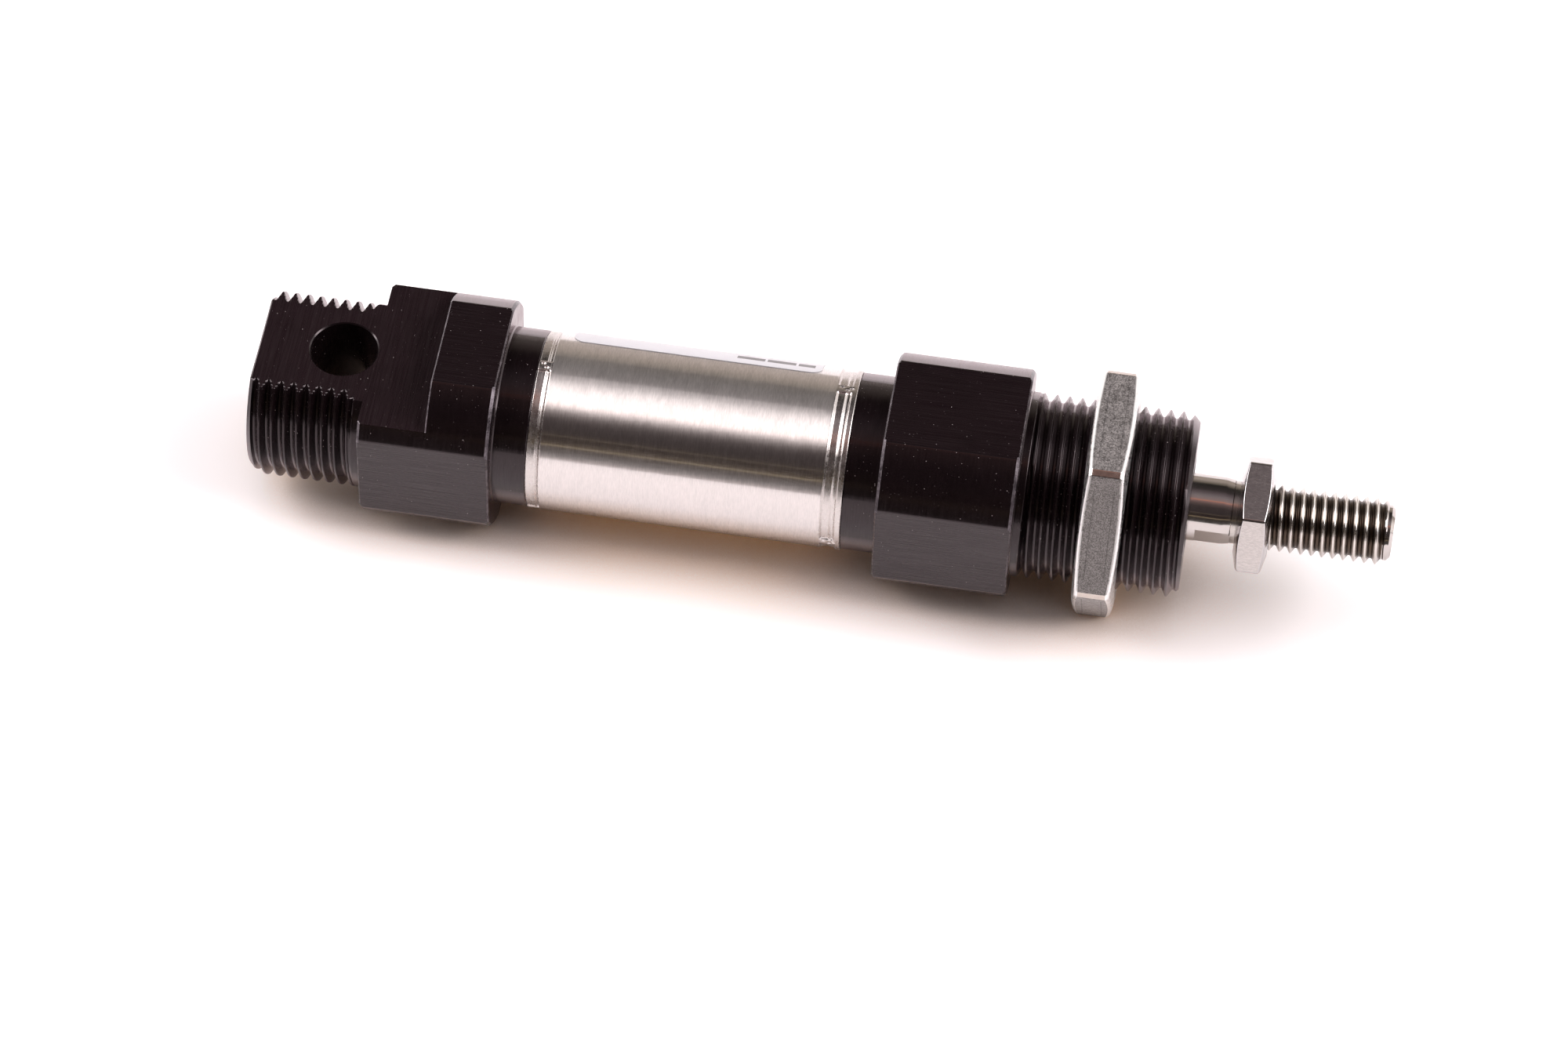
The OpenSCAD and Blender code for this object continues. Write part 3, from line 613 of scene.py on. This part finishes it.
def rear_cover():
    thread_corner = math.degrees(math.asin(EYE_FLAT / (CREST_R - COVER_THREAD / 2)))
    marks = four_ways(BLOCK_CORNER) + four_ways(90 - BLOCK_CORNER) + four_ways(EYE_CORNER)
    marks += [mark + d for mark in four_ways(thread_corner) for d in (-2.4, 0, 2.4)]
    skin = Skin(angles(3.6, marks))
    eye = EYE_FLAT / np.maximum(np.abs(np.sin(np.radians(skin.turn))), 1e-3)
    outline = block_r(skin.turn)
    shape = thread_r(CREST_R, COVER_THREAD, COVER_PITCH)
    block_x, block_end_x = REAR_BLOCK
    neck_x = block_x - 1

    def outside(x, from_crest):
        lead_in = LEAD_R + (x - REAR_X)
        run_out = LEAD_R + smooth_step(x, neck_x - 0.9, neck_x)
        return np.minimum(np.minimum(np.maximum(shape(from_crest), run_out), lead_in), eye)

    skin.path((REAR_X, np.minimum(LEAD_R - 1, eye - EDGE)), (REAR_X, np.minimum(LEAD_R, eye - EDGE)))
    skin.thread(REAR_X + EDGE, neck_x, COVER_PITCH, REAR_CREST, outside)
    skin.path((neck_x, np.minimum(NECK_R, eye)), (block_x, np.minimum(NECK_R, eye)))
    block_end(skin, block_x, 1, eye)
    for x in np.linspace(block_x + 1, EYE_REACH, 6):
        skin.row(x, np.minimum(outline, eye))
    skin.path((EYE_REACH, np.where(eye < outline, outline - EDGE, outline)), (EYE_REACH + EDGE, outline))
    for x in np.linspace(EYE_REACH + 1, block_end_x - 1, 4):
        skin.row(x, outline)
    block_end(skin, block_end_x, -1)
    skin.path((block_end_x, COLLAR_R + 0.15), (block_end_x + 0.15, COLLAR_R),
              (BARREL_X - 0.1, COLLAR_R), (BARREL_X, COLLAR_R - 0.1), (BARREL_X, SPIGOT_R),
              (REAR_SPIGOT - CHAMFER, SPIGOT_R), (REAR_SPIGOT, SPIGOT_R - CHAMFER), (REAR_SPIGOT, POCKET_R),
              (REAR_SPIGOT - POCKET_DEPTH, POCKET_R), (REAR_SPIGOT - POCKET_DEPTH, REAR_PASSAGE_R),
              (PORT_XS[0], REAR_PASSAGE_R))
    obj = skin.mesh("rear_cover_body")

    pin_end, flare = EYE_FLAT - 0.15, 1.3
    pin = [(EYE_R + flare, -pin_end - flare), (EYE_R, -pin_end), (EYE_R, pin_end),
           (EYE_R + flare, pin_end + flare)]
    cut(obj, revolved("cutter", pin, (0, 0, 1), (0, 0, 0), 96))
    cut(obj, port_cutter(PORT_XS[0]))
    paint(obj, COVER_LOOKS, cover_faces)
    finish_piece(obj, "cylinder", ["rear_cover"])
    port_thread("rear_port_thread", PORT_XS[0])


def front_cover():
    skin = Skin(angles(3.6, four_ways(BLOCK_CORNER) + four_ways(90 - BLOCK_CORNER)))
    outline = block_r(skin.turn)
    shape = thread_r(CREST_R, COVER_THREAD, COVER_PITCH)
    block_x = FRONT_BLOCK[0]
    neck_x = FRONT_FACE + 0.9
    seal_x, bushing_x = NOSE_END - SEAL_DEPTH, FRONT_FACE - BUSHING_BACK

    def outside(x, from_crest):
        lead_in = LEAD_R + (NOSE_END - x)
        run_out = LEAD_R + 1 - smooth_step(x, neck_x, neck_x + 0.6)
        return np.minimum(np.maximum(shape(from_crest), run_out), lead_in)

    skin.path((FRONT_SPIGOT, SPIGOT_R - CHAMFER), (FRONT_SPIGOT + CHAMFER, SPIGOT_R), (BARREL_END, SPIGOT_R),
              (BARREL_END, COLLAR_R - 0.1), (BARREL_END + 0.1, COLLAR_R),
              (block_x - 0.15, COLLAR_R), (block_x, COLLAR_R + 0.15))
    block_end(skin, block_x, 1)
    for x in np.linspace(block_x + 1, FRONT_FACE - 1, 7):
        skin.row(x, outline)
    block_end(skin, FRONT_FACE, -1)
    skin.path((FRONT_FACE, NECK_R + 0.1), (FRONT_FACE + 0.1, NECK_R), (neck_x, NECK_R))
    skin.thread(neck_x, NOSE_END, COVER_PITCH, NOSE_CREST, outside)
    skin.path((NOSE_END, MOUTH_R + CHAMFER), (NOSE_END - CHAMFER, MOUTH_R), (NOSE_END - SEAL_LIP, MOUTH_R),
              (NOSE_END - SEAL_LIP, SEAL_R), (seal_x, SEAL_R), (seal_x, BUSHING_R), (bushing_x, BUSHING_R),
              (bushing_x, ROD_PASSAGE_R), (FRONT_SPIGOT, ROD_PASSAGE_R))
    obj = skin.mesh("front_cover_body", ring=True)
    cut(obj, port_cutter(PORT_XS[1]))
    paint(obj, COVER_LOOKS, cover_faces)
    finish_piece(obj, "cylinder", ["front_cover"])
    port_thread("front_port_thread", PORT_XS[1])


# ---- barrel and label
def barrel():
    """The tube, pressed onto the covers by jaws that leave its metal raised in the gaps between them."""
    skin = Skin(angles(3, [gap + d for gap in REAR_GAPS + FRONT_GAPS for d in (-4, -1.5, 1.5, 4)]))

    def raised(gaps, half=4.5, soft=1.8):
        """1 in the gaps and 0 under the jaws."""
        from_gap = np.min([np.abs(apart(skin.turn, gap)) for gap in gaps], axis=0)
        return 1 - smooth_step(from_gap, half - soft, half)

    def creases(gaps, at, places):
        """Depth of small creases beside the gaps. places are (degrees from a gap, mm from the tube's end)."""
        depth = 0
        for across, along in places:
            around = np.max([bell(apart(skin.turn, gap), across, 0.9) for gap in gaps], axis=0)
            depth = depth + 0.16 * around * bell(at, along, 0.22)
        return depth

    raised_rear, raised_front = raised(REAR_GAPS), raised(FRONT_GAPS)
    from_rear = runs((0, 0.2, 5), (0.2, 0.9, 7), (0.9, 1.86, 16), (1.86, 2.4, 3))
    from_front = runs((0, 0.2, 4), (0.2, 0.6, 4), (0.6, 1.425, 11), (1.45, 1.96, 3), (1.96, 2.68, 9),
                      (2.7, 3.45, 3))
    skin.row(BARREL_X, BARREL_BORE_R)
    for at in from_rear:
        band = 1 - smooth_step(at, 1.38, 1.66)
        nick, bead = 0.08 * bell(at, 1.36, 0.07), 0.07 * bell(at, 1.12, 0.1)
        low = (CRIMP_DEPTH * band + nick - bead) * (1 - raised_rear)
        low = low + creases(REAR_GAPS, at, [(-1.4, 1.0), (1.6, 0.55)])
        rim = 0.1 * (1 - smooth_step(at, 0, 0.1))
        skin.row(BARREL_X + at, BARREL_R - np.maximum(low, 0) - rim - 0.04 * band * raised_rear)
    for x in np.linspace(BARREL_X + 3, BARREL_END - 3.6, 9):
        skin.row(x, BARREL_R)
    for at in reversed(from_front):
        groove = (1 - smooth_step(at, 2.1, 2.5)) * smooth_step(at, 0.6, 0.85)
        ridge = 0.09 * bell(at, 1.2, 0.1) - 0.05 * bell(at, 1.42, 0.07)
        low = ((CRIMP_DEPTH + 0.04) * groove - ridge) * (1 - raised_front)
        low = low + creases(FRONT_GAPS, at, [(-1.2, 1.2), (1.5, 1.9), (0.6, 0.75)])
        rim = 0.08 * (1 - smooth_step(at, 0, 0.1))
        skin.row(BARREL_END - at, BARREL_R - np.maximum(low, 0) - rim)
    skin.row(BARREL_END, BARREL_BORE_R)
    obj = skin.mesh("barrel_tube", ring=True)

    def crimped(centres, normals):
        return (centres[:, 0] < BARREL_X + 1.7) | (centres[:, 0] > BARREL_END - 2.5)

    paint(obj, [TUBE, CRIMP], crimped)
    finish_piece(obj, "cylinder", ["barrel"], 40)


def label():
    """A thin film with rounded corners, stuck round the barrel."""
    inner_r, outer_r = BARREL_R + 0.012, BARREL_R + 0.088
    length, wide = LABEL_END - LABEL_X, math.radians(LABEL_SWEEP) * outer_r
    corner = 1.4
    down = np.concatenate([corner * (1 - np.cos(np.linspace(0, math.pi / 2, 12))),
                           np.linspace(corner, wide - corner, 40)[1:-1],
                           wide - corner * (1 - np.cos(np.linspace(math.pi / 2, 0, 12)))])
    across = np.linspace(0, 1, 30)
    points, n = [], len(across)
    for r in (outer_r, inner_r):
        for s in down:
            near = min(s, wide - s)
            inset = corner - math.sqrt(max(corner ** 2 - (corner - min(near, corner)) ** 2, 0))
            a = math.radians(LABEL_START) + s / outer_r
            for t in across:
                x = LABEL_X + inset + (length - 2 * inset) * t
                points.append((x * MM, -r * math.cos(a) * MM, r * math.sin(a) * MM))
    rows = len(down)
    faces = []
    for layer in (0, rows * n):
        for i in range(rows - 1):
            for k in range(n - 1):
                faces.append((layer + i * n + k, layer + i * n + k + 1,
                              layer + (i + 1) * n + k + 1, layer + (i + 1) * n + k))
    rim = [*range(n), *(i * n + n - 1 for i in range(1, rows))]
    rim += [*((rows - 1) * n + k for k in range(n - 2, -1, -1)), *(i * n for i in range(rows - 2, 0, -1))]
    for a, b in zip(rim, rim[1:] + rim[:1]):
        faces.append((a, b, b + rows * n, a + rows * n))
    obj = solid("label_film", points, faces)
    paint(obj, [FILM])
    finish_piece(obj, "cylinder", ["label"], 40)


# ---- rod and nuts
def rod():
    """The rod, from its tail inside the piston to its threaded tip."""
    skin = Skin(angles(4, [FLATS_TURN + d for d in (-29, 29, 151, 209)]))
    shape = thread_r(ROD_R - 0.03, THREAD_DEPTH * ROD_PITCH, ROD_PITCH, 0.16, 0.06)
    flat = flats_r(skin.turn - FLATS_TURN, ROD_FLAT, 2)
    flats_x, thread_x, ring_x = SHOULDER - FLATS_LENGTH, SHOULDER + 1.7, ROD_TIP - TIP_LENGTH
    undercut_r, root_r, tail_r = ROD_R - 0.3, 3.25, 2.95

    def outside(x, from_crest):
        run_out = root_r + (undercut_r - root_r) * (1 - smooth_step(x, thread_x - 0.1, thread_x + 0.5))
        lead_in = TIP_R + (ROD_TIP - 0.5 - x) * 0.9
        return np.minimum(np.maximum(shape(from_crest), run_out), lead_in)

    skin.path((ROD_TAIL, tail_r - 0.45), (ROD_TAIL + 0.45, tail_r), (PISTON_FRONT, tail_r),
              (PISTON_FRONT, ROD_R - 0.1), (PISTON_FRONT + 0.1, ROD_R))
    for x in np.linspace(PISTON_FRONT + 2, flats_x - 0.2, 12):
        skin.row(x, ROD_R)
    skin.row(flats_x, ROD_R)
    for x, round_r in ((flats_x, ROD_R), (SHOULDER, ROD_R), (SHOULDER + 0.2, ROD_R - 0.04),
                       (SHOULDER + 1, ROD_R - 0.2), (SHOULDER + 1.1, undercut_r)):
        skin.row(x, np.minimum(flat, round_r))
    skin.row(thread_x, undercut_r)
    skin.thread(thread_x, ring_x + 0.4, ROD_PITCH, ROD_CREST, outside)
    skin.path((ring_x + 0.4, TIP_R), (ROD_TIP - CHAMFER, TIP_R), (ROD_TIP, TIP_R - CHAMFER))
    obj = skin.mesh("rod_shaft")

    def threaded(centres, normals):
        return (centres[:, 0] > SHOULDER + 1.1) & (centres[:, 0] < ring_x + 0.1)

    paint(obj, [ROD_STEEL, THREAD_STEEL], threaded)
    finish_piece(obj, "rod", ["piston_rod"])


def hex_nut(name, start, end, flat, corner_at, corner_wide, chamfers, edge, bore, mouth, pitch, looks):
    """A hexagon nut between two stations, threaded inside and painted.

    flat is the distance from the axis to a side. The corners, one of them at angle corner_at, are cut to
    corner_wide. chamfers has the radius where each end's chamfer starts and its angle, and edge is the
    radius that rounds the outer edges. bore is the radius of the hole and mouth its chamfer. looks are
    the materials of the sides, the ends and the corners.
    """
    corner_r = flat / math.cos(math.radians(30)) - corner_wide / 2 * math.tan(math.radians(30))
    half = math.degrees(corner_wide / 2 / corner_r)
    skin = Skin(angles(3, [corner_at + 60 * k + way * half for k in range(6) for way in (-1, 1)], fine=0.3))
    side = smooth_min(flats_r(skin.turn - corner_at - 30, flat, 6),
                      corner_r / np.cos(np.radians(apart(skin.turn, corner_at, 60))), 0.05)

    def face(x, way, ring_r, tilt):
        """Rows of the end at x, from the bore out to a side. way points into the nut."""
        def drop(r):
            return np.maximum(r - ring_r, 0) * math.tan(math.radians(tilt))

        middle_r = (ring_r + side) / 2
        rows = [(x + way * mouth, bore), (x, bore + mouth), (x, ring_r), (x + way * drop(middle_r), middle_r)]
        for a in np.radians([12, 30, 48, 66, 80, 90]):
            rows.append((x + way * (drop(side - edge) + edge * (1 - math.cos(a))),
                         side - edge * (1 - math.sin(a))))
        return rows

    first, last = face(start, 1, *chamfers[0]), face(end, -1, *chamfers[1])
    skin.path(*first)
    for part in (0.2, 0.5, 0.8):
        skin.row(first[-1][0] * (1 - part) + last[-1][0] * part, side)
    skin.path(*reversed(last))
    inside = np.linspace(end - mouth, start + mouth, int((end - start) / pitch * 10))
    for x in inside[1:-1]:
        wave = np.abs(apart(x + pitch * skin.turn / 360, 0, pitch)) / (pitch / 2)
        skin.row(x, bore + 0.35 * pitch * (1 - wave))
    obj = skin.mesh(name, ring=True)

    def places(centres, normals):
        at = np.degrees(np.arctan2(centres[:, 2], -centres[:, 1]))
        corner = np.abs(apart(at, corner_at, 60)) < half + 0.1
        return np.select([np.abs(normals[:, 0]) > 0.2, corner], [1, 2], 0)

    paint(obj, looks, places)
    return obj


def mounting_nut():
    nut = hex_nut("mounting_nut_body", NUT_X, NUT_END, NUT_FLAT, corner_at=0, corner_wide=0.85,
                  chamfers=[(12.8, 9), (12.6, 10)], edge=0.65, bore=CREST_R + 0.05, mouth=0.9,
                  pitch=COVER_PITCH, looks=[NUT_STEEL, NUT_EDGE, NUT_CORNER])
    finish_piece(nut, "nose_nut", ["mounting_nut"], 24)


def rod_nut():
    nut = hex_nut("rod_nut_body", LOCK_X, LOCK_END, LOCK_FLAT, corner_at=LOCK_TURN, corner_wide=0.25,
                  chamfers=[(4.7, 14.5), (4.7, 14.5)], edge=0.16, bore=ROD_R + 0.02, mouth=0.35,
                  pitch=ROD_PITCH, looks=[LOCK_STEEL, LOCK_EDGE, LOCK_EDGE])
    finish_piece(nut, "lock_nut", ["rod_nut"], 24)


rear_cover()
front_cover()
barrel()
label()
rod()
mounting_nut()
rod_nut()


# ---- parts that keep their CAD shape
KEPT = {
    "rear_barrel_o_ring": SEAL, "front_barrel_o_ring": SEAL, "rod_seal": SEAL, "piston_o_ring": SEAL,
    "front_piston_seal": SEAL, "rear_piston_seal": SEAL, "rod_bushing": BRONZE,
    "piston_front": PISTON_METAL, "piston_rear": PISTON_METAL, "magnet": FERRITE, "guide_ring": BAND,
    "front_bumper": BUMPER, "rear_bumper": BUMPER, "piston_nut": LOCK_STEEL,
}
for node, mat in KEPT.items():
    for place in frame["nodes"][node].material_slots:
        place.material = mat

# ---- floor, in metres
FLOOR_SIZE = 6.0
FLOOR_GAP = 0.02 * MM


def pale_floor():
    """A plane under the mounting nut's lower flat and the rear block's lower edge."""
    nut_rest = Vector((NUT_X, 0, -NUT_FLAT)) * MM
    block_rest = Vector((REAR_BLOCK[0] + ROUND_EDGE, 0, -FLAT)) * MM
    along = (nut_rest - block_rest).normalized() * FLOOR_SIZE / 2
    across = Vector((0, 1, 0)) * FLOOR_SIZE / 2
    middle = nut_rest - along.cross(across).normalized() * FLOOR_GAP
    mesh = bpy.data.meshes.new("floor")
    mesh.from_pydata([middle + along * a + across * b for a, b in ((-1, -1), (1, -1), (1, 1), (-1, 1))],
                     [], [(0, 1, 2, 3)])
    floor = bpy.data.objects.new("floor", mesh)
    bpy.context.collection.objects.link(floor)
    floor.data.materials.append(pale_paper())


def pale_paper():
    """White paper with painted shade, darker and warmer where the object hides it from the sky, a painted
    warm reflection under the tube, and a painted glow away from the object.
    """
    look = Look("pale paper")
    near_sky = look.node("ShaderNodeAmbientOcclusion", {"Distance": 16 * MM}, samples=6).outputs["AO"]
    wide_sky = look.node("ShaderNodeAmbientOcclusion", {"Distance": 70 * MM}, samples=4).outputs["AO"]
    tone = look.mix(look.noise((0.01, 0.01, 0.01), 3), (0.88, 0.85, 0.86), (0.90, 0.87, 0.88))
    tube_middle, tube_half = (BARREL_X + BARREL_END) / 2 * MM, (BARREL_END - BARREL_X) / 2 * MM
    beside = look.math("ABSOLUTE", look.math("SUBTRACT", look.axes()[0], tube_middle))
    under_tube = look.ramp(beside, tube_half * 0.5, tube_half * 1.1, 1, 0)
    # Painted shade and painted reflected light: near the object the paper turns dark brown, and under the
    # tube a warm gold that stands in for light the tube throws down.
    shade = look.mix(under_tube, (0.76, 0.51, 0.33), (0.84, 0.48, 0.15))
    dimmed = look.ramp(look.node("ShaderNodeLightPath").outputs["Is Glossy Ray"], 0, 1, 1, 0.6)
    # Painted light: the paper glows where it is open to the sky, less so in reflections, so it is brighter
    # away from the object and its shadows look deeper.
    glow = look.math("MULTIPLY", look.ramp(wide_sky, 0.25, 0.9, 0.0, 0.45), dimmed)
    look.surface(Base_Color=look.mix(look.ramp(near_sky, 0.1, 0.75), shade, tone), Roughness=0.9,
                 Specular_IOR_Level=0.1, Emission_Color=(1.0, 0.96, 0.97), Emission_Strength=glow,
                 Normal=look.bump(look.noise((2, 2, 2), 2), 0.03, 0.02))
    return look.mat


pale_floor()

# ---- light
# Colours of the studio by direction, in degrees from -Y over the top. The bare metal mirrors them in
# this order from its lower edge up to its far side.
PALE_TABLE = [(0, (0.22, 0.20, 0.19)), (3, (0.11, 0.10, 0.095)), (9, (0.075, 0.065, 0.06))]
DARK_FRONT = [(17.8, (0.06, 0.05, 0.045)), (18.5, (0.55, 0.43, 0.27)), (19.6, (0.55, 0.43, 0.27)),
              (20.3, (0.045, 0.035, 0.03)), (31, (0.04, 0.03, 0.03)), (32, (0.3, 0.24, 0.17)),
              (33, (0.055, 0.045, 0.045)), (55, (0.07, 0.055, 0.055))]
SOFT_CEILING = [(66, (0.15, 0.11, 0.105)), (75.5, (0.36, 0.23, 0.22)), (76.5, (0.75, 0.32, 0.22)),
                (78.5, (0.75, 0.32, 0.22)), (79.5, (0.40, 0.29, 0.28)), (92, (0.30, 0.26, 0.27)),
                (106, (0.16, 0.13, 0.14)), (118, (0.06, 0.05, 0.05))]
BACK_WALL = [(140, (0.03, 0.028, 0.025)), (150, (0.27, 0.235, 0.195)), (162, (0.52, 0.45, 0.4)),
             (180, (0.50, 0.43, 0.38))]
LAMP = 8.2
BACK_GLOW = 1.1
LAMP_TINT = (1.0, 0.975, 0.985)


def studio_light(tree):
    """Radiance by direction: the studio's colours, and a large lamp with a glow behind it at each end."""
    nodes, links = tree.nodes, tree.links

    def calc(operation, a, b=0.0):
        node = nodes.new("ShaderNodeMath")
        node.operation = operation
        for socket, value in zip(node.inputs, (a, b)):
            if isinstance(value, bpy.types.NodeSocket):
                links.new(value, socket)
            else:
                socket.default_value = value
        return node.outputs[0]

    def step(value, low, high):
        node = nodes.new("ShaderNodeMapRange")
        node.interpolation_type = "SMOOTHSTEP"
        links.new(value, node.inputs["Value"])
        node.inputs["From Min"].default_value = low
        node.inputs["From Max"].default_value = high
        return node.outputs[0]

    def between(value, low, low_end, high_start, high):
        return calc("MULTIPLY", step(value, low, low_end), calc("SUBTRACT", 1, step(value, high_start, high)))

    place = nodes.new("ShaderNodeTexCoord")
    split = nodes.new("ShaderNodeSeparateXYZ")
    links.new(place.outputs["Generated"], split.inputs[0])
    x, y, z = split.outputs
    rise = calc("DEGREES", calc("ARCTAN2", z, calc("MULTIPLY", y, -1)))
    sideways = calc("ABSOLUTE", x)

    ramp = nodes.new("ShaderNodeValToRGB")
    links.new(calc("DIVIDE", rise, 180), ramp.inputs[0])
    stops = PALE_TABLE + DARK_FRONT + SOFT_CEILING + BACK_WALL
    elements = ramp.color_ramp.elements
    while len(elements) < len(stops):
        elements.new(0.5)
    for element, (angle, colour) in zip(elements, stops):
        element.position = angle / 180
        element.color = (*colour, 1)

    lamp = calc("MULTIPLY", between(rise, 66, 77, 107, 125), step(sideways, 0.48, 0.62))
    glow = calc("MULTIPLY", between(rise, 108, 125, 160, 178), step(sideways, 0.35, 0.6))
    tinted = nodes.new("ShaderNodeVectorMath")
    tinted.operation = "SCALE"
    tinted.inputs[0].default_value = LAMP_TINT
    links.new(calc("ADD", calc("MULTIPLY", lamp, LAMP), calc("MULTIPLY", glow, BACK_GLOW)),
              tinted.inputs["Scale"])
    total = nodes.new("ShaderNodeVectorMath")
    links.new(ramp.outputs[0], total.inputs[0])
    links.new(tinted.outputs[0], total.inputs[1])
    links.new(total.outputs[0], nodes["Background"].inputs[0])


scene = bpy.context.scene
scene.world = bpy.data.worlds.new("studio")
scene.world.use_nodes = True
scene.view_settings.view_transform = "Standard"
studio_light(scene.world.node_tree)

# ---- camera, placed from the middle of the object
AZIMUTH, ELEVATION, ROLL = (math.radians(angle) for angle in (7.175, 51.643, 2.103))
DISTANCE = 696.7
SHIFT_RIGHT, SHIFT_UP = -4.758, -7.789
LENS = 135.28
SENSOR = 36


def place_camera():
    back = Vector((math.sin(AZIMUTH) * math.cos(ELEVATION), -math.cos(AZIMUTH) * math.cos(ELEVATION),
                   math.sin(ELEVATION)))
    level = Vector((math.cos(AZIMUTH), math.sin(AZIMUTH), 0))
    upward = back.cross(level)
    right = level * math.cos(ROLL) + upward * math.sin(ROLL)
    up = upward * math.cos(ROLL) - level * math.sin(ROLL)
    centre = Vector(((REAR_X + ROD_TIP) / 2, 0, 0))
    spot = (centre + right * SHIFT_RIGHT + up * SHIFT_UP + back * DISTANCE) * MM
    camera = bpy.data.objects.new("camera", bpy.data.cameras.new("camera"))
    bpy.context.collection.objects.link(camera)
    camera.matrix_world = Matrix.Translation(spot) @ Matrix((right, up, back)).transposed().to_4x4()
    camera.data.lens = LENS
    camera.data.sensor_width = SENSOR
    camera.data.clip_start, camera.data.clip_end = 0.01, 50
    scene.camera = camera


place_camera()
